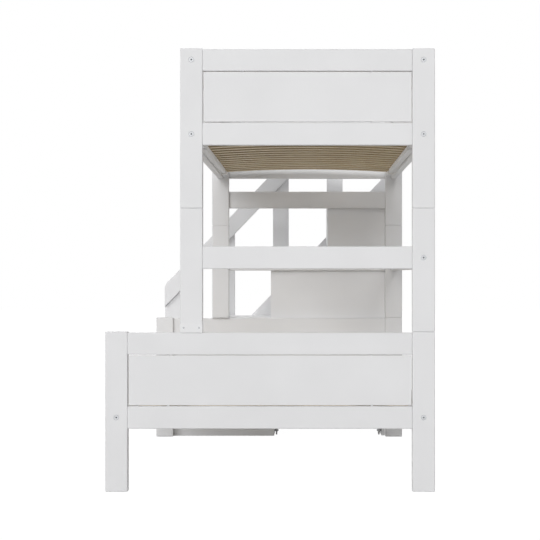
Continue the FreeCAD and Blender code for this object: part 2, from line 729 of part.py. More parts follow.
treads = []
for step in range(1, 5):
    treads.append(panel("treads", f"step{step}", (edge_of(step + 1), edge_of(step)),
                        (f"{BACK} + tread_setback", OUTER),
                        (f"{step} * step_rise - tread_thick", f"{step} * step_rise")))
parts.append(joined("treads", treads))
parts.append(named("drawer_bay_top", panel("drawer_bay_top", "board", BAY, INSIDE, (BAY_TOP, "step_rise"))))

SECOND_CELL = (f"{edge_of(3)}", f"{edge_of(2)} - board")
THIRD_CELL = (f"{edge_of(4)}", f"{edge_of(3)} - board")
FOURTH_CELL = (f"{LAST} + board", f"{edge_of(4)} - board")
shelves = [
    panel("cubby_shelves", "second_floor", SECOND_CELL, INSIDE, span("plinth", "board")),
    panel("cubby_shelves", "second", SECOND_CELL, INSIDE, (BAY_TOP, "step_rise")),
    panel("cubby_shelves", "third", THIRD_CELL, INSIDE, ("2 * step_rise - board", "2 * step_rise")),
    panel("cubby_shelves", "fourth", FOURTH_CELL, INSIDE, ("2 * step_rise - board", "2 * step_rise")),
    panel("cubby_shelves", "fourth_high", FOURTH_CELL, INSIDE, ("3 * step_rise - board", "3 * step_rise")),
]
parts.append(joined("cubby_shelves", shelves))
parts.append(named("first_step_front", panel(
    "first_step_front", "board", (f"{edge_of(2)}", f"{FIRST} - board"), (f"{OUTER} - board", OUTER),
    ("0", "step_rise - tread_thick"))))

# ---------------------------------------------------------------- balustrade

STAIR_POST = f"{OUTER} + rail_board"


def sloped_post(label, number):
    """A balustrade post between the two diagonal boards, both ends cut to their slopes."""
    body = new_body(label, f"post{number}")
    outline = new_sketch(body, "Outline", "XZ_Plane")
    start = f"{number} * post_spacing"
    foot = f"{start} * string_slope"
    head = f"hand_level + hand_width - post_tuck + {start} * hand_slope"
    full = f"{UPPER} + low_height"
    first_foot = "0" if number == 0 else foot
    second_foot = "0" if number == 0 else f"{foot} + post_width * string_slope"
    first_head = full if number == 3 else head
    second_head = full if number == 3 else f"{head} + post_width * hand_slope"
    draw_outline(outline, [("0", first_foot), ("post_width", second_foot), ("post_width", second_head),
                           ("0", first_head)])
    add_pad(body, outline, "post_thick", backwards=True)
    ease_edges(body, upright, "post_arris", "Chamfer")
    put(body, f"lower_width - {start}", STAIR_POST, "0")
    return body


parts.append(named("balustrade_foot_post", sloped_post("balustrade_foot_post", 0)))
parts.append(joined("balustrade_posts", [sloped_post("balustrade_posts", number) for number in (1, 2, 3)]))
parts.append(named("balustrade_wall_post", post("balustrade_wall_post", "post", "0", STAIR_POST, "0",
                                                f"{UPPER} + low_height")))


def stringer():
    """The lower diagonal board, from the foot post to the wall post."""
    body = new_body("stair_stringer")
    outline = new_sketch(body, "Outline", "XZ_Plane")
    draw_outline(outline, [("0", "0"), ("lower_width", "lower_width * string_slope"),
                           ("lower_width", "lower_width * string_slope + string_width"),
                           ("0", "string_width")])
    add_pad(body, outline, "rail_board", backwards=True)
    put(body, "lower_width", OUTER, "0")
    return named("stair_stringer", body)


def handrail():
    """The upper diagonal board, cut level at the top and rounded at its foremost corner."""
    body = new_body("handrail")
    outline = new_sketch(body, "Outline", "XZ_Plane")
    end = "3 * post_spacing + post_width / 2"
    full = f"{UPPER} + low_height"
    draw_outline(outline, [
        ("0", "hand_level"), (end, f"hand_level + ({end}) * hand_slope"), (end, full),
        (f"({full} - hand_level - hand_width) / hand_slope", full), ("0", "hand_level + hand_width")])
    add_pad(body, outline, "rail_board", backwards=True)
    nose = value("hand_level + hand_width")

    def foremost(edge):
        bounds = edge.BoundBox
        return abs(bounds.ZMin - nose) < 1e-6 and bounds.ZLength < 1e-6 and bounds.XMax < 1e-6

    ease_edges(body, foremost, "hand_nose")
    put(body, "lower_width", OUTER, "0")
    return named("handrail", body)


parts += [stringer(), handrail()]
LANDING_TOP = (f"{UPPER} + low_height - landing_rail", f"{UPPER} + low_height")
LANDING_LOW = span("landing_level", "landing_rail")
landing = []
for place, level in (("low", LANDING_LOW), ("high", LANDING_TOP)):
    turn = "lower_width - 3 * post_spacing" + (" - post_width / 2" if place == "high" else "")
    landing.append(rail("landing_rails", "outer_" + place, ("0", turn), (OUTER, STAIR_POST), level))
    landing.append(rail("landing_rails", "wall_" + place, WALL_RAIL, (BACK, OUTER), level))
parts.append(joined("landing_rails", landing))

# ---------------------------------------------------------------- drawer

DRAWER = (f"{BAY[0]} + bay_play", f"{BAY[1]} - bay_play")
DRAWER_BACK = f"{BACK} + board + bay_play"
DRAWER_FACE = f"{OUTER} - board"
SIDE_TOP = "drawer_lift + drawer_side"
CAVITY = (f"{DRAWER[0]} + side_thick", f"{DRAWER[1]} - side_thick")


def drawer_front():
    """The drawer front with a rounded hand notch in its upper edge."""
    body = new_body("drawer_front")
    outline = new_sketch(body, "Outline", "XZ_Plane")
    wide = f"({BAY[1]} - ({BAY[0]}) - 2 * front_play)"
    high = f"({BAY_TOP} - front_play - front_level)"
    grip_start, grip_end = f"({wide} - grip_wide) / 2", f"({wide} + grip_wide) / 2"
    grip_floor = f"{high} - grip_deep"
    draw_outline(outline, [
        ("0", "0"), (wide, "0"), (wide, high), (grip_end, high), (grip_end, grip_floor),
        (grip_start, grip_floor), (grip_start, high), ("0", high)])
    add_pad(body, outline, "board", backwards=True)
    low = value(grip_floor)

    def notch_corner(edge):
        bounds = edge.BoundBox
        return bounds.YLength > 1 and abs(bounds.ZMin - low) < 1e-6 and bounds.ZLength < 1e-6

    ease_edges(body, notch_corner, "grip_round")
    put(body, f"{BAY[1]} - front_play", DRAWER_FACE, "front_level")
    return named("drawer_front", body)


def drawer_side(use, reach, inward):
    """A drawer side with a groove that holds the bottom; inward says which face the groove is in."""
    body = new_body("drawer_sides", use)
    section = new_sketch(body, "Section", "XZ_Plane")
    low, high = "bottom_lift", "bottom_lift + bottom_thick"
    if inward == "wall":
        points = [("0", "0"), ("side_thick", "0"), ("side_thick", low), ("side_thick - groove", low),
                  ("side_thick - groove", high), ("side_thick", high), ("side_thick", "drawer_side"),
                  ("0", "drawer_side")]
    else:
        points = [("0", "0"), ("side_thick", "0"), ("side_thick", "drawer_side"), ("0", "drawer_side"),
                  ("0", high), ("groove", high), ("groove", low), ("0", low)]
    draw_outline(section, points)
    add_pad(body, section, f"{DRAWER_FACE} - ({DRAWER_BACK})", backwards=True)
    put(body, reach, DRAWER_BACK, "drawer_lift")
    return body


parts.append(drawer_front())
parts.append(joined("drawer_sides", [
    drawer_side("room", DRAWER[1], "wall"), drawer_side("wall", f"{DRAWER[0]} + side_thick", "room")]))
FLOOR_TOP = "drawer_lift + bottom_lift + bottom_thick"
parts.append(named("drawer_back", panel("drawer_back", "board", CAVITY, span(DRAWER_BACK, "side_thick"),
                                        (FLOOR_TOP, SIDE_TOP))))
parts.append(named("drawer_bottom", box(
    "drawer_bottom", "board", (f"{CAVITY[0]} - groove", f"{CAVITY[1]} + groove"),
    (DRAWER_BACK, DRAWER_FACE), ("drawer_lift + bottom_lift", FLOOR_TOP))))

WHEEL_LEVEL = "wheel_radius + wheel_lift"
SIDE_MIDDLES = {"room": f"{DRAWER[1]} - side_thick / 2", "wall": f"{DRAWER[0]} + side_thick / 2"}
WHEEL_ALONGS = {"back": f"{BACK} + wheel_inset", "front": f"{OUTER} - wheel_inset"}


def wheel(label, reach, along):
    """A plain wheel that runs on its axle with a little room."""
    start = f"{reach} + wheel_wide / 2"
    disc = flatted(label, "disc", "wheel_radius", "wheel_wide", "X", start, along, WHEEL_LEVEL,
                   flats=WHEEL_FLATS)
    bore = cylinder(label, "bore", "axle_radius + axle_play", "wheel_wide", "X", start, along, WHEEL_LEVEL)
    return named(label, less(label, "disc", disc, [bore]))


def fork(use, reach, along):
    """A folded steel fork: its web is screwed under the drawer side and its cheeks carry the axle."""
    body = new_body("wheel_forks", use)
    profile = new_sketch(body, "Profile", "XZ_Plane")
    top = f"(drawer_lift - ({WHEEL_LEVEL}) + cheek_drop)"
    draw_outline(profile, [
        ("0", "0"), ("fork_thick", "0"), ("fork_thick", f"{top} - fork_thick"),
        ("fork_wide - fork_thick", f"{top} - fork_thick"), ("fork_wide - fork_thick", "0"),
        ("fork_wide", "0"), ("fork_wide", top), ("0", top)])
    add_pad(body, profile, "fork_long", backwards=True)
    for side, corners in (
            ("Front", [("0", "0"), ("fork_taper", "0"), ("0", "2 * fork_taper")]),
            ("Rear", [("fork_long", "0"), ("fork_long", "2 * fork_taper"), ("fork_long - fork_taper", "0")])):
        taper = new_sketch(body, side, "YZ_Plane")
        draw_outline(taper, corners)
        add_pocket(body, taper, "fork_wide", backwards=True)
    put(body, f"{reach} + fork_wide / 2", f"{along} - fork_long / 2", f"{WHEEL_LEVEL} - cheek_drop")
    corner = f"(axle_radius + axle_play) / cos(180 / {FORK_FLATS})"
    hole = flatted("wheel_forks", use + "_axle", corner, "axle_length", "X",
                   f"{reach} + axle_length / 2", along, WHEEL_LEVEL, flats=FORK_FLATS)
    return less("wheel_forks", use, body, [hole])


forks, axles = [], []
for place, along in WHEEL_ALONGS.items():
    for side, reach in SIDE_MIDDLES.items():
        use = f"{place}_{side}"
        parts.append(wheel(f"wheel_{use}", reach, along))
        forks.append(fork(use, reach, along))
        axles.append(cylinder("wheel_axles", use, "axle_radius", "axle_length", "X",
                              f"{reach} + axle_length / 2", along, WHEEL_LEVEL))
parts.append(joined("wheel_forks", forks))
parts.append(joined("wheel_axles", axles))

# ---------------------------------------------------------------- check and write

doc.recompute()
for thing in doc.Objects:
    assert "Invalid" not in thing.State and "Error" not in thing.State, f"{thing.Label}: {thing.State}"
for piece in parts:
    assert not piece.Shape.isNull() and piece.Shape.isValid(), f"{piece.Label} has no valid shape"

os.makedirs("parts", exist_ok=True)
for piece in parts:
    piece.Shape.exportStep(f"parts/{piece.Label}.step")
whole = Part.makeCompound([piece.Shape for piece in parts])
print(len(parts), "sub-parts,", len(whole.Solids), "solids,", whole.BoundBox)
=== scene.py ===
import bmesh
import bpy
from math import pi, radians
from mathutils import Matrix, Vector


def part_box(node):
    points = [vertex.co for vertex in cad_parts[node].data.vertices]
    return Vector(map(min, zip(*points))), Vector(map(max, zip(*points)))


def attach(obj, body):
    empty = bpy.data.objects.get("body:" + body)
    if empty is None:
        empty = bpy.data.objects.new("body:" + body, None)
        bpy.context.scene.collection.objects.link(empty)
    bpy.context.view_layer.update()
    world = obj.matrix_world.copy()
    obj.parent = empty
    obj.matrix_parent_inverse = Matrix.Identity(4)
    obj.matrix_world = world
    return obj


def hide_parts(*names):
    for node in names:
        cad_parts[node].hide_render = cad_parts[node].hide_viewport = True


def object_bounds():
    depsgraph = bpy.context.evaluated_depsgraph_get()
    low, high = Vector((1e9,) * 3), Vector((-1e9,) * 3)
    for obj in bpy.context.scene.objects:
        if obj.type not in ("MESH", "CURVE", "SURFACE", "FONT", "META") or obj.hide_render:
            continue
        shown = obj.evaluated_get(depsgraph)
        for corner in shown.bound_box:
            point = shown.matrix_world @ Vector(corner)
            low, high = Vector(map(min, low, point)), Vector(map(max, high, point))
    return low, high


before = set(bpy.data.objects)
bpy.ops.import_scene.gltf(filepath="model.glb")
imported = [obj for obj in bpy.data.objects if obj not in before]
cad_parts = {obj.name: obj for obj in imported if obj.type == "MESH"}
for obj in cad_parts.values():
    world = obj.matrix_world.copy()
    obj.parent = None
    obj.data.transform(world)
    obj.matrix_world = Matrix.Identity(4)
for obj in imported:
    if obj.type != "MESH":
        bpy.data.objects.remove(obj)        # a bunk bed with storage stairs, in metres, on the floor at Z = 0
cad_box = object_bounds()    # +X is the wall side, the camera looks along +Y, down the bed's length

# ================================================================ posts
# Planed pine, 90 x 45 mm, sprayed with a white satin lacquer and stacked in three tiers on steel pins.
# Every arris is rounded over before spraying, so a fine line shows wherever two posts meet.
# Flat round seats are bored for the bolt heads that pull the side rails up to the posts.

POST_WIDE = 0.090
POST_ROUND = 0.0035
SEAT_RADIUS = 0.0112
SEAT_DEEP = 0.0035
OVERSHOOT = 0.01       # a drill starts this far outside the wood
POST_NODES = ("lower_near_posts", "lower_far_posts", "mid_near_posts", "mid_far_posts",
              "upper_near_posts", "upper_far_posts")
BOLTED_RAILS = ("lower_side_rail_room", "lower_side_rail_wall", "wall_back_rail", "upper_side_rail_room",
                "upper_side_rail_wall", "guard_rail_room", "guard_rail_wall")


def linear(code):
    """An sRGB hex colour as the linear one that a shader socket holds."""
    shares = [int(code[place:place + 2], 16) / 255 for place in (0, 2, 4)]
    return [share / 12.92 if share <= 0.04045 else ((share + 0.055) / 1.055) ** 2.4 for share in shares] + [1]


def add_node(tree, kind, settings, links=()):
    """Adds a shader node, fills its properties and sockets, and brings (output, socket) pairs into it."""
    node = tree.nodes.new("ShaderNode" + kind)
    for key, setting in settings.items():
        if isinstance(key, int) or key in node.inputs:
            node.inputs[key].default_value = setting
        else:
            setattr(node, key, setting)
    for output, socket in links:
        tree.links.new(output, node.inputs[socket])
    return node


def new_finish(name, settings):
    """A material with one Principled shader, and its tree."""
    finish = bpy.data.materials.new(name)
    finish.use_nodes = True
    tree = finish.node_tree
    shader = tree.nodes["Principled BSDF"]
    for socket, setting in settings.items():
        shader.inputs[socket].default_value = setting
    return finish, tree, shader


def satin_lacquer(name, grain, strength):
    """Water-based satin lacquer, sprayed: an even off-white film with a soft broad gloss.

    grain is the size of the wood's pores in millimetres along X, Y and Z; the film fills them, so
    only a trace of them and of the spray's orange peel is left to catch the light.
    """
    finish, tree, shader = new_finish(name, {"IOR": 1.46, "Coat Weight": 0.05, "Coat Roughness": 0.3})
    place = add_node(tree, "TexCoord", {}).outputs["Object"]
    stretched = add_node(tree, "Mapping", {"Scale": [1000 / size for size in grain]}, [(place, "Vector")])
    pores = add_node(tree, "TexNoise", {"Scale": 1, "Detail": 3, "Roughness": 0.6},
                     [(stretched.outputs["Vector"], "Vector")])
    peel = add_node(tree, "TexNoise", {"Scale": 1000 / PEEL, "Detail": 1}, [(place, "Vector")])
    cloud = add_node(tree, "TexNoise", {"Scale": 1000 / CLOUD, "Detail": 2}, [(place, "Vector")])
    tone = add_node(tree, "ValToRGB", {}, [(cloud.outputs["Fac"], "Fac")])
    for stop, position, colour in zip(tone.color_ramp.elements, (0.35, 0.65), (LACQUER_DARK, LACQUER)):
        stop.position, stop.color = position, linear(colour)
    sheen = add_node(tree, "MapRange", {"To Min": 0.46, "To Max": 0.56}, [(pores.outputs["Fac"], "Value")])
    dimples = add_node(tree, "Bump", {"Strength": 0.10, "Distance": PEEL_DEEP},
                       [(peel.outputs["Fac"], "Height")])
    relief = add_node(tree, "Bump", {"Strength": strength, "Distance": PORE_DEEP},
                      [(pores.outputs["Fac"], "Height"), (dimples.outputs["Normal"], "Normal")])
    tree.links.new(tone.outputs["Color"], shader.inputs["Base Color"])
    tree.links.new(sheen.outputs["Result"], shader.inputs["Roughness"])
    tree.links.new(relief.outputs["Normal"], shader.inputs["Normal"])
    return finish


LACQUER = "E4E4E5"
LACQUER_DARK = "E1E1E2"
PEEL = 1.6             # orange peel of a sprayed film, in millimetres
PEEL_DEEP = 0.00005
CLOUD = 260            # slow drift of the film's thickness, in millimetres
PORE_ACROSS = 2.2      # earlywood bands of pine, in millimetres, drawn a little coarse so that they show
PORE_ALONG = 140
PORE_DEEP = 0.0002
PINE_RELIEF = 0.22
lacquer_upright = satin_lacquer("satin_lacquer_on_pine_upright", (PORE_ACROSS, PORE_ACROSS, PORE_ALONG),
                                PINE_RELIEF)
SHARP = radians(20)    # edges that turn by less are left as they are


def soften(shape, radius):
    """Rounds the sharp edges of a shape; only the rounds are shaded smooth, so broad faces stay true."""
    sharp = [edge for edge in shape.edges if edge.calc_face_angle(0) > SHARP]
    made = bmesh.ops.bevel(shape, geom=sharp, offset=radius, segments=3, profile=0.5, affect="EDGES",
                           material=-1, clamp_overlap=True)
    for face in made["faces"]:
        face.smooth = True
    return shape


def block(low, high):
    """A square-edged blank between two corners."""
    shape = bmesh.new()
    bmesh.ops.create_cube(shape, size=1)
    bmesh.ops.scale(shape, vec=high - low, verts=shape.verts)
    bmesh.ops.translate(shape, vec=(low + high) / 2, verts=shape.verts)
    return shape


def board(low, high, radius):
    """A planed board between two corners."""
    return soften(block(low, high), radius)


def rod(radius, start, end, sides=40):
    """A round bar from one point to another."""
    shape = bmesh.new()
    run = end - start
    bmesh.ops.create_cone(shape, cap_ends=True, segments=sides, radius1=radius, radius2=radius,
                          depth=run.length)
    turn = run.to_track_quat("Z", "Y").to_matrix().to_4x4()
    bmesh.ops.transform(shape, matrix=Matrix.Translation((start + end) / 2) @ turn, verts=shape.verts)
    for face in shape.faces:
        face.smooth = len(face.verts) == 4
    return shape


def gather(shapes):
    """Several shapes become one."""
    whole = bmesh.new()
    for shape in shapes:
        mesh = bpy.data.meshes.new("gathered")
        shape.to_mesh(mesh)
        shape.free()
        whole.from_mesh(mesh)
        bpy.data.meshes.remove(mesh)
    return whole


def link(shape, name):
    """A shape becomes an object of the scene."""
    mesh = bpy.data.meshes.new(name)
    shape.to_mesh(mesh)
    shape.free()
    thing = bpy.data.objects.new(name, mesh)
    bpy.context.scene.collection.objects.link(thing)
    return thing


def drill(shape, holes):
    """Cuts the holes out of a shape."""
    solid, cutter = link(shape, "solid"), link(gather(holes), "cutter")
    cut = solid.modifiers.new("cut", "BOOLEAN")
    cut.operation, cut.solver, cut.object = "DIFFERENCE", "EXACT", cutter
    graph = bpy.context.evaluated_depsgraph_get()
    mesh = bpy.data.meshes.new_from_object(solid.evaluated_get(graph))
    drilled = bmesh.new()
    drilled.from_mesh(mesh)
    for thing in (solid, cutter):
        bpy.data.objects.remove(thing)
    bpy.data.meshes.remove(mesh)
    return drilled


def fit(shape, name, finish, nodes, body="bed_frame"):
    """A finished shape becomes a piece of the bed and stands for its nodes."""
    piece = link(shape, name)
    piece.data.materials.append(finish)
    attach(piece, body)
    if nodes:
        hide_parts(*nodes)
    return piece


def bolt_places():
    """Where the bolts run, as (X, Z) at the middle of every side rail."""
    for rail in BOLTED_RAILS:
        low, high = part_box(rail)
        yield (low.x + high.x) / 2, (low.z + high.z) / 2


def post_seats(low, high, outward):
    """The seats that fall inside a pair of posts, cut from the face that looks outward."""
    face = low.y if outward < 0 else high.y
    for across, level in bolt_places():
        if low.x < across < high.x and low.z < level < high.z:
            yield rod(SEAT_RADIUS, Vector((across, face + outward * OVERSHOOT, level)),
                      Vector((across, face - outward * SEAT_DEEP, level)))


for node in POST_NODES:
    low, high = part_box(node)
    pair = gather([board(low, Vector((low.x + POST_WIDE, high.y, high.z)), POST_ROUND),
                   board(Vector((high.x - POST_WIDE, low.y, low.z)), high, POST_ROUND)])
    seats = list(post_seats(low, high, -1 if "near" in node else 1))
    fit(drill(pair, seats), node + "_planed", lacquer_upright, [node])

# ================================================================ end rails
# Pine rails, 30 mm thick, doweled and glued between the posts of each end frame and flush with
# their faces: a 90 mm one below, an 88 mm one above.  The gaps between the tiers have one rail
# each, and a further rail low on the far posts carries the head of the stairs.

RAIL_HIGH = 0.090
TOP_RAIL_HIGH = 0.088
RAIL_ROUND = 0.0035
ENTRY_END = 0.465      # from the wall-side face of the bed to where the far top rail starts
lacquer_across = satin_lacquer("satin_lacquer_on_pine_across", (PORE_ALONG, PORE_ACROSS, PORE_ACROSS),
                               PINE_RELIEF)

for node in ("lower_near_rails", "lower_far_rails", "upper_near_rails", "upper_far_rails"):
    low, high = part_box(node)
    top_end = cad_box[1].x - ENTRY_END if node == "upper_far_rails" else high.x
    pair = gather([board(low, Vector((high.x, high.y, low.z + RAIL_HIGH)), RAIL_ROUND),
                   board(Vector((low.x, low.y, high.z - TOP_RAIL_HIGH)), Vector((top_end, high.y, high.z)),
                         RAIL_ROUND)])
    fit(pair, node + "_planed", lacquer_across, [node])
for node in ("mid_near_rail", "mid_far_rail", "stair_support_rail"):
    fit(board(*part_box(node), RAIL_ROUND), node + "_planed", lacquer_across, [node])
fit(board(*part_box("entry_stile"), RAIL_ROUND), "entry_stile_planed", lacquer_upright,
    ["entry_stile"])

# ================================================================ end and guard panels
# Medium-density fibreboard, 16 mm, edges eased by a hair and sprayed like the rest, so nothing
# but the spray's own texture shows.  Each panel stands 4 mm off its frame on short dowels.

PANEL_ROUND = 0.0012
PANEL_THICK = 0.016
BOARD_GRAIN = (30, 30, 30)
FIBRE_RELIEF = 0.06
lacquer_panel = satin_lacquer("satin_lacquer_on_fibreboard", BOARD_GRAIN, FIBRE_RELIEF)

END_PANELS = ("lower_near_panel", "lower_far_panel", "upper_near_panel", "upper_far_panel")
for node in END_PANELS:
    fit(board(*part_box(node), PANEL_ROUND), node + "_sprayed", lacquer_panel, [node])
low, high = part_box("guard_panels")
guards = gather([board(low, Vector((low.x + PANEL_THICK, high.y, high.z)), PANEL_ROUND),
                 board(Vector((high.x - PANEL_THICK, low.y, low.z)), high, PANEL_ROUND)])
fit(guards, "guard_panels_sprayed", lacquer_panel, ["guard_panels"])

# ================================================================ panel dowels
# Turned dowels, 10 mm, glued into blind holes of the rails and of the panels' edges, and sprayed
# with the frame.  Only 4 mm of each can be seen, bridging the slits.

DOWEL_RADIUS = 0.005
DOWEL_HOLD = 0.012
SLIT = 0.004
END_INSET = 0.162
STILE_INSET = 0.081
GUARD_INSET = 0.200


def dowels_of(panel_low, panel_high, places):
    """Dowels above and below one panel."""
    for place in places:
        for start, end in ((panel_low.z - SLIT - DOWEL_HOLD, panel_low.z + DOWEL_HOLD),
                           (panel_high.z - DOWEL_HOLD, panel_high.z + SLIT + DOWEL_HOLD)):
            yield rod(DOWEL_RADIUS, Vector((*place, start)), Vector((*place, end)), sides=24)


dowels = []
for node in END_PANELS:
    low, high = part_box(node)
    wall_inset = STILE_INSET if node == "upper_far_panel" else END_INSET
    middle = (low.y + high.y) / 2
    dowels += dowels_of(low, high, [(low.x - SLIT + END_INSET, middle),
                                    (high.x + SLIT - wall_inset, middle)])
low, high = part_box("guard_panels")
for across in (low.x + PANEL_THICK / 2, high.x - PANEL_THICK / 2):
    dowels += dowels_of(low, high, [(across, low.y - SLIT + GUARD_INSET), (across, (low.y + high.y) / 2),
                                    (across, high.y + SLIT - GUARD_INSET)])
fit(gather(dowels), "panel_dowels_turned", lacquer_upright, ["panel_dowels"])

# ================================================================ side rails
# Pine rails, 30 mm thick, that run the length of the bed: two below, one against the wall in the
# middle tier, two above, and the two upper guards.  A blind hole near each end, open on the
# side of the mattress, holds the barrel nut that the bolt pulls on.

NUT_INSET = 0.040
NUT_RADIUS = 0.006
NUT_HOLE = 0.0065
NUT_HOLE_DEEP = 0.026
lacquer_along = satin_lacquer("satin_lacquer_on_pine_along", (PORE_ACROSS, PORE_ALONG, PORE_ACROSS),
                              PINE_RELIEF)


def nut_places(rail):
    """Where the two barrel nuts of a rail sit, and which way their holes open."""
    low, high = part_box(rail)
    inward = -1 if low.x > 0 else 1
    face = low.x if inward < 0 else high.x
    for along in (low.y + NUT_INSET, high.y - NUT_INSET):
        yield Vector((face, along, (low.z + high.z) / 2)), inward


for node in BOLTED_RAILS:
    holes = [rod(NUT_HOLE, spot + Vector((inward * OVERSHOOT, 0, 0)),
                 spot - Vector((inward * NUT_HOLE_DEEP, 0, 0))) for spot, inward in nut_places(node)]
    fit(drill(board(*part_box(node), RAIL_ROUND), holes), node + "_planed", lacquer_along,
        [node])

# ================================================================ bolts, barrel nuts and pins
# Zinc-plated steel from a furniture maker's box: flat-headed bolts with a hexagon socket, cross
# dowels with a slot that lines their thread up, and plain pins inside the stacked posts.

HEAD_RADIUS = 0.0105
HEAD_THICK = 0.003
HEAD_SINK = 0.0005
HEAD_ROUND = 0.0008
SOCKET_RADIUS = 0.0034
SHANK_RADIUS = 0.004
BOLT_LONG = 0.095
PUNCH_PAST = 0.001     # the punch that makes the socket goes past both faces of the head
NUT_LONG = 0.022
NUT_SUNK = 0.003       # barrel nut below the face of its rail
NUT_ROUND = 0.0004
SLOT_WIDE = 0.0014
SLOT_DEEP = 0.0012
SLOT_ROUND = 0.0001
ZINC = "BCBDBF"
ZINC_DARK = "A0A2A4"
BATH_CLOUD = 6         # clouds from the plating bath, in millimetres
# painted shade for the inside of the bolts' sockets, mottled a little like oil; its blotches are in
# millimetres
SOCKET_SHADE = "3A3A3B"
SOCKET_SHADE_DARK = "1E1E1F"
SOCKET_SHADE_CLOUD = 1.2


def bright_zinc(name, cloud):
    """Bright zinc on steel: a cold grey metal gone dull, with faint clouds from the plating bath."""
    finish, tree, shader = new_finish(name, {"Metallic": 1.0})
    place = add_node(tree, "TexCoord", {}).outputs["Object"]
    bath = add_node(tree, "TexNoise", {"Scale": 1000 / cloud, "Detail": 2}, [(place, "Vector")])
    tone = add_node(tree, "ValToRGB", {}, [(bath.outputs["Fac"], "Fac")])
    for stop, colour in zip(tone.color_ramp.elements, (ZINC_DARK, ZINC)):
        stop.color = linear(colour)
    dull = add_node(tree, "MapRange", {"To Min": 0.52, "To Max": 0.68}, [(bath.outputs["Fac"], "Value")])
    tree.links.new(tone.outputs["Color"], shader.inputs["Base Color"])
    tree.links.new(dull.outputs["Result"], shader.inputs["Roughness"])
    return finish


def socket_in_painted_shade(name):
    """The inside of a punched socket: dull and nearly black, a little from the oil of the press and mostly
    painted shade standing for a socket deeper than the thin head holds.
    """
    finish, tree, shader = new_finish(name, {"Roughness": 0.7, "Specular IOR Level": 0.2})
    place = add_node(tree, "TexCoord", {}).outputs["Object"]
    shade_blotches = add_node(tree, "TexNoise", {"Scale": 1000 / SOCKET_SHADE_CLOUD, "Detail": 1}, [(place, "Vector")])
    tone = add_node(tree, "ValToRGB", {}, [(shade_blotches.outputs["Fac"], "Fac")])
    for stop, colour in zip(tone.color_ramp.elements, (SOCKET_SHADE_DARK, SOCKET_SHADE)):
        stop.color = linear(colour)
    tree.links.new(tone.outputs["Color"], shader.inputs["Base Color"])
    return finish


zinc_fixing = bright_zinc("zinc_plated_steel", BATH_CLOUD)
socket_shade_finish = socket_in_painted_shade("socket_painted_shade")


def bolt(across, level, face, outward):
    """One bolt: a head with a rounded rim and a hexagon socket in painted shade, on its shank."""
    def at(depth):
        return Vector((across, face - outward * depth, level))
    under = at(HEAD_SINK + HEAD_THICK)
    head = soften(rod(HEAD_RADIUS, under, at(HEAD_SINK), sides=48), HEAD_ROUND)
    punch = rod(SOCKET_RADIUS, at(HEAD_SINK + HEAD_THICK + PUNCH_PAST), at(-2 * PUNCH_PAST), sides=6)
    head = drill(head, [punch])
    whole = gather([head, rod(SHANK_RADIUS, at(BOLT_LONG), under, sides=24)])
    # the socket's walls and floor take the second finish, which paints the shade of a deep socket
    for side in whole.faces:
        centre = side.calc_center_median() - under
        wall = abs(side.normal.y) < 0.5 and Vector((centre.x, centre.z)).length < SOCKET_RADIUS and (
            centre.y * outward > 0)
        floor = side.normal.y * outward > 0.9 and abs(centre.y) < 1e-5
        side.material_index = 1 if wall or floor else 0
    return whole


near_face, far_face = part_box("lower_near_posts")[0].y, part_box("lower_far_posts")[1].y
bolts = [bolt(across, level, face, outward) for across, level in bolt_places()
         for face, outward in ((near_face, -1), (far_face, 1))]
bolted = fit(gather(bolts), "frame_bolts_turned", zinc_fixing, ["frame_bolts"])
# the second finish: painted shade inside the sockets
bolted.data.materials.append(socket_shade_finish)

nuts = []
for rail in BOLTED_RAILS:
    for spot, inward in nut_places(rail):
        outer = spot - Vector((inward * NUT_SUNK, 0, 0))
        barrel = soften(rod(NUT_RADIUS, outer - Vector((inward * NUT_LONG, 0, 0)), outer), NUT_ROUND)
        reach = Vector((SLOT_DEEP, SLOT_WIDE / 2, NUT_RADIUS * 1.2))    # the slot runs out past the rim
        nuts.append(drill(barrel, [board(outer - reach, outer + reach, SLOT_ROUND)]))
fit(gather(nuts), "barrel_nuts_slotted", zinc_fixing, ["barrel_nuts"])


def dress(node, finish):
    """A node whose shape is right keeps it and gets its finish."""
    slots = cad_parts[node].data.materials
    slots.clear()
    slots.append(finish)


dress("stacking_pins", zinc_fixing)

# ================================================================ post shoes
# Sheet steel, 2.5 mm, folded to an angle and powder-coated white.  Its web lies between the foot of
# the room-side middle post and the lower frame's top rail, its flange on the outer face of the post.

SHOE_THICK = 0.0025
SHOE_LIFT = 0.0035     # from the top rail to the foot of the post
SHOE_WIDE = 0.0475
SHOE_CORNER = 0.006
FLANGE_ROUND = 0.0005
WEB_ROUND = 0.0006
WEB_PLAY = 0.0004      # left between the web and the foot of the post
COAT = "E4E4E5"
GRIT = 0.9             # of the powder coat, in millimetres

# Powder coat: the lacquer's white with a little more gloss, which the grit in the film breaks up.
powder, tree, shader = new_finish("powder_coated_steel", {"Base Color": linear(COAT), "Roughness": 0.42,
                                                          "IOR": 1.5})
place = add_node(tree, "TexCoord", {}).outputs["Object"]
grit = add_node(tree, "TexNoise", {"Scale": 1000 / GRIT, "Detail": 1}, [(place, "Vector")])
relief = add_node(tree, "Bump", {"Strength": 0.3, "Distance": 0.00008}, [(grit.outputs["Fac"], "Height")])
tree.links.new(relief.outputs["Normal"], shader.inputs["Normal"])


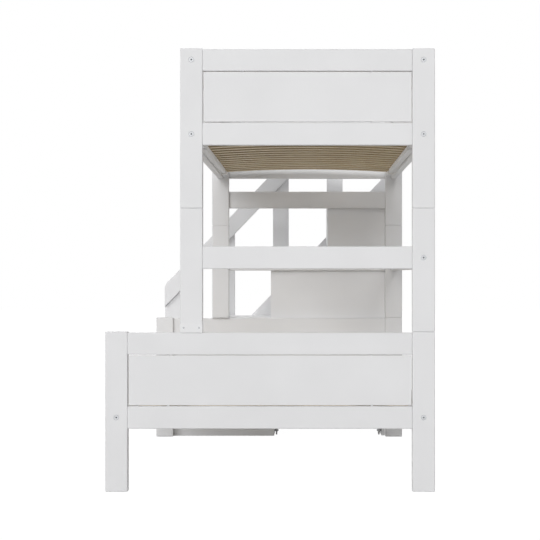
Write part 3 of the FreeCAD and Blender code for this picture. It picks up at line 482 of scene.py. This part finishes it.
def shoe(low, high, outward):
    """A web and a flange with two rounded corners, made as two blocks gathered into one shape."""
    face = low.y if outward < 0 else high.y - SHOE_THICK
    flange = block(Vector((low.x, face, low.z)), Vector((high.x, face + SHOE_THICK, high.z)))
    top = max(vert.co.z for vert in flange.verts)
    corners = [edge for edge in flange.edges
               if abs(edge.verts[0].co.x - edge.verts[1].co.x) < 1e-6
               and all(abs(vert.co.z - top) < 1e-6 for vert in edge.verts)]
    bmesh.ops.bevel(flange, geom=corners, offset=SHOE_CORNER, segments=6, profile=0.5, affect="EDGES",
                    material=-1)
    web = board(low, Vector((high.x, high.y, low.z + SHOE_LIFT - WEB_PLAY)), WEB_ROUND)
    return gather([soften(flange, FLANGE_ROUND), web])


low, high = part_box("post_shoes")
shoes = gather([shoe(low, Vector((high.x, low.y + SHOE_WIDE, high.z)), -1),
                shoe(Vector((low.x, high.y - SHOE_WIDE, low.z)), high, 1)])
fit(shoes, "post_shoes_folded", powder, ["post_shoes"])

# ================================================================ shoe screws
# Two pan-headed screws hold each flange to the face of its post.  They are zinc plated like the
# bolts and have a cross slot for the driver.

SCREW_RADIUS = 0.004
SCREW_HEAD = 0.0012
SCREW_SPREAD = 0.062
SCREW_ROUND = 0.0006
SCREW_SEAT = 0.0005    # the head's rim in the flange
CROSS_HALF = 0.0024    # the cross slot from its middle to the end of an arm
CROSS_DEEP = 0.0008
CROSS_WIDE = 0.001
CROSS_ROUND = 0.00005


def cross_slot(middle, outward, half, deep):
    """The two crossed bars that a driver's slot is cut with."""
    side = outward.orthogonal().normalized()
    up = outward.cross(side)
    for long, short in ((side, up), (up, side)):
        arm = Vector(abs(long[axis]) * half + abs(short[axis]) * CROSS_WIDE / 2 + abs(outward[axis]) * deep
                     for axis in range(3))
        yield board(middle - arm, middle + arm, CROSS_ROUND)


def cross_head(centre, outward):
    """A low round head with a cross slot."""
    tip = centre + outward * SCREW_HEAD
    head = soften(rod(SCREW_RADIUS, centre - outward * SCREW_SEAT, tip, sides=32), SCREW_ROUND)
    return drill(head, cross_slot(tip, outward, CROSS_HALF, CROSS_DEEP))


low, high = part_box("shoe_screws")
middle, level = (low.x + high.x) / 2, (low.z + high.z) / 2
screws = []
for face, outward in ((low.y + SCREW_HEAD, -1), (high.y - SCREW_HEAD, 1)):
    for side in (-1, 1):
        screws.append(cross_head(Vector((middle + side * SCREW_SPREAD / 2, face, level)),
                                 Vector((0, outward, 0))))
fit(gather(screws), "shoe_screws_driven", zinc_fixing, ["shoe_screws"])

# ================================================================ ledgers
# Pine strips, 27 x 20 mm, glued and screwed to the inner faces of the side rails: a short piece
# at each end, and two long ones that leave a small gap between them half way along.

LEDGER_WIDE = 0.027
LEDGER_SHORT = 0.180
LEDGER_LONG = 0.700
LEDGER_GAP = 0.010
LEDGER_ROUND = 0.0015
LEDGER_SCREW = 0.0042
LEDGER_SCREW_DEEP = 0.002
LEDGER_SCREW_PROUD = 0.0001
LEDGER_CROSS_HALF = 0.0026
LEDGER_CROSS_DEEP = 0.0012
SCREW_END = 0.045
SCREW_PITCH = 0.305


def ledger_runs(low, high):
    """The start and end of each strip along one rail."""
    middle = (low.y + high.y) / 2
    yield low.y, low.y + LEDGER_SHORT
    yield middle - LEDGER_GAP / 2 - LEDGER_LONG, middle - LEDGER_GAP / 2
    yield middle + LEDGER_GAP / 2, middle + LEDGER_GAP / 2 + LEDGER_LONG
    yield high.y - LEDGER_SHORT, high.y


def countersunk(centre, outward):
    """A flat screw head let in flush, with a cross slot."""
    head = rod(LEDGER_SCREW, centre - outward * LEDGER_SCREW_DEEP, centre + outward * LEDGER_SCREW_PROUD,
               sides=24)
    return drill(head, cross_slot(centre, outward, LEDGER_CROSS_HALF, LEDGER_CROSS_DEEP))


for node in ("lower_ledgers", "upper_ledgers"):
    low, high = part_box(node)
    strips, heads = [], []
    for start, outward in ((low.x, 1), (high.x - LEDGER_WIDE, -1)):
        for first, last in ledger_runs(low, high):
            strips.append(board(Vector((start, first, low.z)), Vector((start + LEDGER_WIDE, last, high.z)),
                                LEDGER_ROUND))
            face = start + LEDGER_WIDE if outward > 0 else start
            steps = max(1, round((last - first - 2 * SCREW_END) / SCREW_PITCH))
            for step in range(steps + 1):
                along = first + SCREW_END + (last - first - 2 * SCREW_END) * step / steps
                heads.append(countersunk(Vector((face, along, (low.z + high.z) / 2)),
                                         Vector((outward, 0, 0))))
    fit(gather(strips), node + "_planed", lacquer_along, [node])
    fit(gather(heads), node + "_screws", zinc_fixing, [])

# ================================================================ sprung slats
# Layered birch and beech, 60 x 9 mm, pressed to a shallow arch and clear-coated.  They rest on
# the ledgers with their crown upwards; each has its own tone, and its long edges are rounded.

SLAT_COUNT = 16
SLAT_WIDE = 0.060
SLAT_THICK = 0.009
SLAT_RISE = 0.015
SLAT_PITCH = 0.122
SLAT_ROUND = 0.003
SLAT_CUTS = 24
VENEER_PAIR = 0.003    # two veneers, one across the other
SLAT_GRAIN = (120, 2.5, 2.5)    # streaks along the slat, in millimetres
BIRCH = "D6C5A3"
BIRCH_DARK = "BDA47C"
# tones of the slats' long edges: browned veneers, darkened further with painted shade
SHADED_EDGE_PALE = "998A69"
SHADED_EDGE_DARK = "7E6C4F"


def clear_wood(name, light, dark, grain, roughness):
    """Clear-coated hardwood: streaks of two near tones that run with the board, and open pores."""
    finish, tree, shader = new_finish(name, {"IOR": 1.45})
    place = add_node(tree, "TexCoord", {}).outputs["Object"]
    stretched = add_node(tree, "Mapping", {"Scale": [1000 / size for size in grain]}, [(place, "Vector")])
    streaks = add_node(tree, "TexNoise", {"Scale": 1, "Detail": 4, "Roughness": 0.62, "Distortion": 0.4},
                       [(stretched.outputs["Vector"], "Vector")])
    pores = add_node(tree, "TexNoise", {"Scale": 3.5, "Detail": 2}, [(stretched.outputs["Vector"], "Vector")])
    tone = add_node(tree, "ValToRGB", {}, [(streaks.outputs["Fac"], "Fac")])
    for stop, position, colour in zip(tone.color_ramp.elements, (0.3, 0.68), (dark, light)):
        stop.position, stop.color = position, linear(colour)
    dull = add_node(tree, "MapRange", {"To Min": roughness, "To Max": roughness + 0.15},
                    [(pores.outputs["Fac"], "Value")])
    relief = add_node(tree, "Bump", {"Strength": 0.25, "Distance": 0.0003},
                      [(pores.outputs["Fac"], "Height")])
    tree.links.new(tone.outputs["Color"], shader.inputs["Base Color"])
    tree.links.new(dull.outputs["Result"], shader.inputs["Roughness"])
    tree.links.new(relief.outputs["Normal"], shader.inputs["Normal"])
    return finish


def pressed_birch(name):
    """Birch veneer: pale honey with fine streaks along the slat, and a tone that changes with each slat."""
    finish = clear_wood(name, BIRCH, BIRCH_DARK, SLAT_GRAIN, roughness=0.38)
    tree = finish.node_tree
    shader = tree.nodes["Principled BSDF"]
    place = add_node(tree, "TexCoord", {}).outputs["Object"]
    split = add_node(tree, "SeparateXYZ", {}, [(place, "Vector")])
    number = add_node(tree, "Math", {"operation": "DIVIDE", 1: SLAT_PITCH}, [(split.outputs["Y"], 0)])
    whole = add_node(tree, "Math", {"operation": "ROUND"}, [(number.outputs["Value"], 0)])
    chance = add_node(tree, "TexWhiteNoise", {"noise_dimensions": "1D"}, [(whole.outputs["Value"], "W")])
    shade = add_node(tree, "MapRange", {"To Min": 0.90, "To Max": 1.04}, [(chance.outputs["Value"], "Value")])
    streaked = shader.inputs["Base Color"].links[0].from_socket
    toned = add_node(tree, "HueSaturation", {}, [(streaked, "Color"), (shade.outputs["Result"], "Value")])
    tree.links.new(toned.outputs["Color"], shader.inputs["Base Color"])
    return finish


def layered_edge_in_shade(name):
    """The long edges show the veneers one above the other; they are darker than the faces, partly browned by
    the glue and the press and partly painted shade from the slats beside them.
    """
    finish = clear_wood(name, SHADED_EDGE_PALE, SHADED_EDGE_DARK, SLAT_GRAIN, roughness=0.5)
    tree = finish.node_tree
    shader = tree.nodes["Principled BSDF"]
    height = add_node(tree, "Attribute", {"attribute_name": "veneer"})
    turns = add_node(tree, "Math", {"operation": "MULTIPLY", 1: 2 * pi / VENEER_PAIR},
                     [(height.outputs["Fac"], 0)])
    bands = add_node(tree, "Math", {"operation": "SINE"}, [(turns.outputs["Value"], 0)])
    shade = add_node(tree, "MapRange", {"From Min": -1, "To Min": 0.82, "To Max": 1.06},
                     [(bands.outputs["Value"], "Value")])
    streaked = shader.inputs["Base Color"].links[0].from_socket
    toned = add_node(tree, "HueSaturation", {}, [(streaked, "Color"), (shade.outputs["Result"], "Value")])
    tree.links.new(toned.outputs["Color"], shader.inputs["Base Color"])
    return finish


birch_slat = pressed_birch("clear_coated_birch")
slat_edge_shaded = layered_edge_in_shade("layered_birch_veneers_painted_shade")


def lengthwise(shape):
    """The edges that run from end to end of a slat."""
    return [edge for edge in shape.edges if abs(edge.verts[0].co.x - edge.verts[1].co.x) > SLAT_WIDE]


def slat(low_x, high_x, along, level):
    """One arched slat: a straight bar, cut across at equal steps and lifted along a parabola."""
    half = (high_x - low_x) / 2
    corner = Vector((half, SLAT_WIDE / 2, SLAT_THICK / 2))
    shape = block(-corner, corner)
    made = bmesh.ops.bevel(shape, geom=lengthwise(shape), offset=SLAT_ROUND, segments=3, profile=0.5,
                           affect="EDGES", material=-1)
    for face in made["faces"]:
        face.smooth = True
    # the long edges, facing along Y, take the second finish, whose darker tone is partly painted shade
    for face in shape.faces:
        face.material_index = 1 if abs(face.normal.y) > 0.6 else 0
    veneer = shape.verts.layers.float.new("veneer")
    bmesh.ops.subdivide_edges(shape, edges=lengthwise(shape), cuts=SLAT_CUTS, use_grid_fill=True)
    for vert in shape.verts:
        vert[veneer] = vert.co.z
        vert.co.z += SLAT_THICK / 2 + SLAT_RISE * (1 - (vert.co.x / half) ** 2)
    bmesh.ops.translate(shape, vec=((low_x + high_x) / 2, along + SLAT_WIDE / 2, level), verts=shape.verts)
    return shape


for node in ("lower_slats", "upper_slats"):
    low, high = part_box(node)
    row = [slat(low.x, high.x, low.y + number * SLAT_PITCH, low.z) for number in range(SLAT_COUNT)]
    pressed = fit(gather(row), node + "_pressed", birch_slat, [node])
    pressed.data.materials.append(slat_edge_shaded)

# ================================================================ stair carcass
# Fibreboard, 18 mm, sprayed white: a stepped panel against the end of the bed, uprights under the
# front of each step, and shelves between them that are open on the other side.

TREAD_THICK = 0.022
STEP_RISE = 0.320
STEP_RUN = 0.305       # of the lower steps; the top one runs on to the end of the carcass
STEP_COUNT = 4
BOARD_THICK = 0.018
TREAD_ROUND = 0.003
for node in ("stair_riser", "stair_uprights", "drawer_bay_top", "cubby_shelves", "first_step_front"):
    dress(node, lacquer_panel)


def cut_board(outline, front, back, radius, rounded=(), rounding=0.0):
    """A board with an outline of (X, Z) corners; the corners named in rounded get a large radius."""
    shape = bmesh.new()
    verts = [shape.verts.new((across, front, level)) for across, level in outline]
    shape.faces.new(verts)
    picked = [verts[number] for number in rounded]
    if picked:
        bmesh.ops.bevel(shape, geom=picked, offset=rounding, segments=10, profile=0.5, affect="VERTICES",
                        material=-1)
    shape.normal_update()
    made = bmesh.ops.extrude_face_region(shape, geom=shape.faces[:])
    moved = [item for item in made["geom"] if isinstance(item, bmesh.types.BMVert)]
    bmesh.ops.translate(shape, vec=(0, back - front, 0), verts=moved)
    bmesh.ops.recalc_face_normals(shape, faces=shape.faces)
    return soften(shape, radius)


low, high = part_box("stair_back_panel")
edges = [low.x + step * STEP_RUN for step in range(STEP_COUNT)] + [high.x]
bay_top = STEP_RISE - BOARD_THICK
corners = [(low.x, low.z)]
for step in range(STEP_COUNT):
    level = (step + 1) * STEP_RISE - TREAD_THICK
    corners += [(edges[step], level), (edges[step + 1], level)]
corners += [(high.x, bay_top), (edges[2] + BOARD_THICK, bay_top), (edges[2] + BOARD_THICK, low.z)]
fit(cut_board(corners, low.y, high.y, PANEL_ROUND), "stair_back_panel_sawn", lacquer_panel,
    ["stair_back_panel"])

# ================================================================ treads
# Solid board, 22 mm, lacquered with the rest and rounded a little more along every edge that a
# bare foot meets.

low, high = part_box("treads")
steps = [board(Vector((edges[step], low.y, (step + 1) * STEP_RISE - TREAD_THICK)),
               Vector((edges[step + 1], high.y, (step + 1) * STEP_RISE)), TREAD_ROUND)
         for step in range(STEP_COUNT)]
fit(gather(steps), "treads_planed", lacquer_across, ["treads"])

# ================================================================ balustrade
# Five pine posts, 90 x 45 mm, stand outside the stairs, their heads and feet cut to the slope of
# the two boards that they are bolted to.  The handrail ends level at the top of the bed and has
# one large rounded corner where a hand first meets it.

RAIL_BOARD = 0.025
POST_THICK = 0.045
POST_SPACING = 0.3075
HAND_LEVEL = 0.688
HAND_WIDTH = 0.123
HAND_SLOPE = 1.04
HAND_NOSE = 0.018
HAND_ROUND = 0.003
STRING_WIDTH = 0.125
STRING_SLOPE = 1.044
POST_TUCK = 0.003      # the head of a post below the handrail's upper edge
FOOT_POST, TOP_POST = 0, 3     # the first stands on the floor, the fourth ends level with the bed
SLOPE_GRAIN = (60, PORE_ACROSS, 12)    # the boards lie askew to X and Z, so pores are short and faint
SLOPE_RELIEF = 0.10
left, full = cad_box[0].x, cad_box[1].z
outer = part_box("stair_stringer")[0].y
lacquer_slope = satin_lacquer("satin_lacquer_on_pine_boards", SLOPE_GRAIN, SLOPE_RELIEF)


def on_slope(level, slope, across):
    """The height of a sloping edge at a distance from the room-side face."""
    return level + slope * across


def baluster(number):
    """A post of the balustrade, cut to the slopes of both boards."""
    ends = (number * POST_SPACING, number * POST_SPACING + POST_WIDE)
    feet = [0.0 if number == FOOT_POST else on_slope(0, STRING_SLOPE, end) for end in ends]
    heads = [full if number == TOP_POST else on_slope(HAND_LEVEL + HAND_WIDTH - POST_TUCK, HAND_SLOPE, end)
             for end in ends]
    return cut_board([(left + ends[0], feet[0]), (left + ends[1], feet[1]),
                      (left + ends[1], heads[1]), (left + ends[0], heads[0])],
                     outer + RAIL_BOARD, outer + RAIL_BOARD + POST_THICK, POST_ROUND)


fit(baluster(FOOT_POST), "balustrade_foot_post_planed", lacquer_upright,
    ["balustrade_foot_post"])
risen = gather([baluster(number) for number in range(FOOT_POST + 1, TOP_POST + 1)])
fit(risen, "balustrade_posts_planed", lacquer_upright, ["balustrade_posts"])
fit(board(*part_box("balustrade_wall_post"), POST_ROUND), "balustrade_wall_post_planed", lacquer_upright,
    ["balustrade_wall_post"])

low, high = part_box("handrail")
level_end = (full - HAND_LEVEL - HAND_WIDTH) / HAND_SLOPE
handrail = cut_board([(low.x, HAND_LEVEL), (high.x, on_slope(HAND_LEVEL, HAND_SLOPE, high.x - left)),
                      (high.x, full), (left + level_end, full), (low.x, HAND_LEVEL + HAND_WIDTH)],
                     low.y, high.y, HAND_ROUND, rounded=(4,), rounding=HAND_NOSE)
fit(handrail, "handrail_planed", lacquer_slope, ["handrail"])
low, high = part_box("stair_stringer")
head = on_slope(0, STRING_SLOPE, high.x - low.x)
stringer = cut_board([(low.x, 0), (high.x, head), (high.x, head + STRING_WIDTH), (low.x, STRING_WIDTH)],
                     low.y, high.y, RAIL_ROUND)
fit(stringer, "stair_stringer_planed", lacquer_slope, ["stair_stringer"])

# ================================================================ landing rails
# Level pine rails, 85 mm, that close the head of the stairs: two across the two tallest posts of
# the balustrade, and two along the wall from the bed to the balustrade.

LANDING_HIGH = 0.085
LANDING_LEVEL = 1.532
low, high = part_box("landing_rails")
wall_low, wall_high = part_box("wall_back_rail")
top_post = left + TOP_POST * POST_SPACING
rails = []
for level, end in ((LANDING_LEVEL, top_post), (full - LANDING_HIGH, top_post + POST_WIDE / 2)):
    rails.append(board(Vector((end, outer, level)),
                       Vector((high.x, outer + RAIL_BOARD, level + LANDING_HIGH)), RAIL_ROUND))
    rails.append(board(Vector((wall_low.x, low.y, level)), Vector((wall_high.x, outer, level + LANDING_HIGH)),
                       RAIL_ROUND))
fit(gather(rails), "landing_rails_planed", lacquer_across, ["landing_rails"])

# ================================================================ drawer
# A box on wheels under the two upper steps.  Its front is fibreboard with a hand notch, its sides
# are grooved for a thin white hardboard bottom, and everything on it moves with it.

GRIP_WIDE = 0.130
GRIP_DEEP = 0.028
GRIP_ROUND = 0.020
low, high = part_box("drawer_front")
middle = (low.x + high.x) / 2
front = cut_board([(low.x, low.z), (high.x, low.z), (high.x, high.z), (middle + GRIP_WIDE / 2, high.z),
                   (middle + GRIP_WIDE / 2, high.z - GRIP_DEEP), (middle - GRIP_WIDE / 2, high.z - GRIP_DEEP),
                   (middle - GRIP_WIDE / 2, high.z), (low.x, high.z)],
                  low.y, high.y, PANEL_ROUND, rounded=(4, 5), rounding=GRIP_ROUND)
fit(front, "drawer_front_sawn", lacquer_panel, ["drawer_front"], "drawer")
hardboard = satin_lacquer("white_faced_hardboard", BOARD_GRAIN, FIBRE_RELIEF / 2)
dress("drawer_sides", lacquer_along)
dress("drawer_back", lacquer_across)
dress("drawer_bottom", hardboard)

# ================================================================ drawer wheels
# Light grey nylon wheels with rounded treads and a thin web between rim and hub.  They turn on steel
# axles that are peened over outside folded zinc-plated forks.

WHEEL_NODES = ("wheel_back_room", "wheel_back_wall", "wheel_front_room", "wheel_front_wall")
BORE = 0.00305
HUB = 0.0075
RIM = 0.0175
WEB_INSET = 0.0028
WHEEL_ROUND = 0.0014
NYLON = "B4B4B6"
SCUFF = 2.5            # scuffs from rolling on the floor, in millimetres

# Moulded nylon: an even grey with a soft gloss, which scuffs from the floor make patchy.
nylon, tree, shader = new_finish("moulded_nylon", {"Base Color": linear(NYLON), "IOR": 1.53})
place = add_node(tree, "TexCoord", {}).outputs["Object"]
scuff = add_node(tree, "TexNoise", {"Scale": 1000 / SCUFF, "Detail": 3}, [(place, "Vector")])
dull = add_node(tree, "MapRange", {"To Min": 0.42, "To Max": 0.62}, [(scuff.outputs["Fac"], "Value")])
tree.links.new(dull.outputs["Result"], shader.inputs["Roughness"])


def wheel(low, high):
    """A profile through rim, web and hub, spun round the axle."""
    centre = (low + high) / 2
    half, radius = (high.x - low.x) / 2, (high.z - low.z) / 2
    section = [(-half, BORE), (-half, HUB), (-half + WEB_INSET, HUB), (-half + WEB_INSET, RIM), (-half, RIM),
               (-half, radius - WHEEL_ROUND), (-half + WHEEL_ROUND, radius), (half - WHEEL_ROUND, radius),
               (half, radius - WHEEL_ROUND), (half, RIM), (half - WEB_INSET, RIM), (half - WEB_INSET, HUB),
               (half, HUB), (half, BORE)]
    shape = bmesh.new()
    verts = [shape.verts.new((across, 0, out)) for across, out in section]
    edges = [shape.edges.new((verts[number - 1], verts[number])) for number in range(len(verts))]
    bmesh.ops.spin(shape, geom=verts + edges, cent=(0, 0, 0), axis=(1, 0, 0), angle=2 * pi, steps=64,
                   use_merge=True)
    bmesh.ops.remove_doubles(shape, verts=shape.verts, dist=1e-6)
    bmesh.ops.recalc_face_normals(shape, faces=shape.faces)
    for face in shape.faces:
        face.smooth = abs(face.normal.x) < 0.9
    bmesh.ops.translate(shape, vec=centre, verts=shape.verts)
    return shape


for node in WHEEL_NODES:
    fit(wheel(*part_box(node)), node + "_moulded", nylon, [node], node)

AXLE_RADIUS = 0.003
AXLE_CAP = 0.0045
AXLE_CAP_LONG = 0.0036
AXLE_CAP_ROUND = 0.0007
AXLE_LONG = 0.022
SHEET_CLOUD = 9        # the bath leaves larger clouds on flat sheet, in millimetres
axles = []
for node in WHEEL_NODES:
    low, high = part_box(node)
    centre = (low + high) / 2
    half = Vector((AXLE_LONG / 2, 0, 0))
    cap = Vector((AXLE_CAP_LONG, 0, 0))
    axles.append(rod(AXLE_RADIUS, centre - half, centre + half, sides=32))
    for end in (-half, half - cap):
        axles.append(soften(rod(AXLE_CAP, centre + end, centre + end + cap, sides=32), AXLE_CAP_ROUND))
fit(gather(axles), "wheel_axles_peened", zinc_fixing, ["wheel_axles"], "drawer")
dress("wheel_forks", bright_zinc("zinc_plated_sheet", SHEET_CLOUD))

# ================================================================ studio
# A white sweep with just a trace of shadow, two soft lamps from the camera's side, two behind the
# bed that light its far end, and a camera that looks straight down the length of the bed.

SHADOW_SHARE = 0.06
FLOOR_WHITE = 1.06     # of the seen floor; with the share that takes shadow it comes to 1
FLOOR_TONE = "C4C4C4"
FLOOR_SIZE = 30
FLOOR_DROP = 0.0005    # the floor lies this far under the feet, so that no two faces share a plane
floor_mesh = bmesh.new()
bmesh.ops.create_grid(floor_mesh, x_segments=1, y_segments=1, size=FLOOR_SIZE)
bmesh.ops.translate(floor_mesh, vec=(0, 0, -FLOOR_DROP), verts=floor_mesh.verts)
floor = link(floor_mesh, "floor")


def in_view(tree):
    """1 where the camera, a reflection or a clear piece sees the studio, 0 where only its light counts."""
    ray = add_node(tree, "LightPath", {})
    seen = add_node(tree, "Math", {"operation": "MAXIMUM"},
                    [(ray.outputs["Is Camera Ray"], 0), (ray.outputs["Is Glossy Ray"], 1)])
    return add_node(tree, "Math", {"operation": "MAXIMUM"},
                    [(seen.outputs["Value"], 0), (ray.outputs["Is Transmission Ray"], 1)]).outputs["Value"]


sweep, tree, shader = new_finish("white_studio_floor", {"Base Color": linear(FLOOR_TONE), "Roughness": 0.9})
share = add_node(tree, "Math", {"operation": "MULTIPLY", 1: 1 - SHADOW_SHARE}, [(in_view(tree), 0)])
white = add_node(tree, "Emission", {"Color": (1, 1, 1, 1), "Strength": FLOOR_WHITE})
mixed = add_node(tree, "MixShader", {}, [(share.outputs["Value"], 0), (shader.outputs["BSDF"], 1),
                                         (white.outputs["Emission"], 2)])
tree.links.new(mixed.outputs["Shader"], tree.nodes["Material Output"].inputs["Surface"])
floor.data.materials.append(sweep)

AMBIENT = 0.09
world = bpy.data.worlds.new("studio")
bpy.context.scene.world = world
world.use_nodes = True
tree = world.node_tree
dim = add_node(tree, "Background", {"Color": (1, 1, 1, 1), "Strength": AMBIENT})
bright = add_node(tree, "Background", {"Color": (1, 1, 1, 1), "Strength": 1.0})
mixed = add_node(tree, "MixShader", {}, [(in_view(tree), 0), (dim.outputs["Background"], 1),
                                         (bright.outputs["Background"], 2)])
tree.links.new(mixed.outputs["Shader"], tree.nodes["World Output"].inputs["Surface"])


def distant_lamp(name, aim, power, width):
    """A distant lamp that shines along a direction; its width in degrees makes its shadows soft."""
    lamp = bpy.data.lights.new(name, "SUN")
    lamp.energy, lamp.angle = power, radians(width)
    thing = bpy.data.objects.new(name, lamp)
    thing.rotation_euler = Vector(aim).to_track_quat("-Z", "Y").to_euler()
    bpy.context.scene.collection.objects.link(thing)


distant_lamp("key_from_the_camera", (0, 0.966, -0.259), 1.15, 20)
distant_lamp("key_from_the_left", (0.55, 0.72, -0.42), 1.20, 36)
distant_lamp("fill_from_behind_left", (0.53, -0.63, -0.57), 1.3, 60)
distant_lamp("fill_from_behind_right", (-0.53, -0.63, -0.57), 1.3, 60)

camera = bpy.data.cameras.new("camera")
camera.sensor_width = 36
camera.lens = 99.5
camera.shift_x, camera.shift_y = -0.0667, 0.0104
eye = bpy.data.objects.new("camera", camera)
eye.location = (0.144, -7.263, 0.865)
eye.rotation_euler = (pi / 2, 0, 0)
bpy.context.scene.collection.objects.link(eye)
bpy.context.scene.camera = eye
bpy.context.scene.view_settings.view_transform = "Standard"
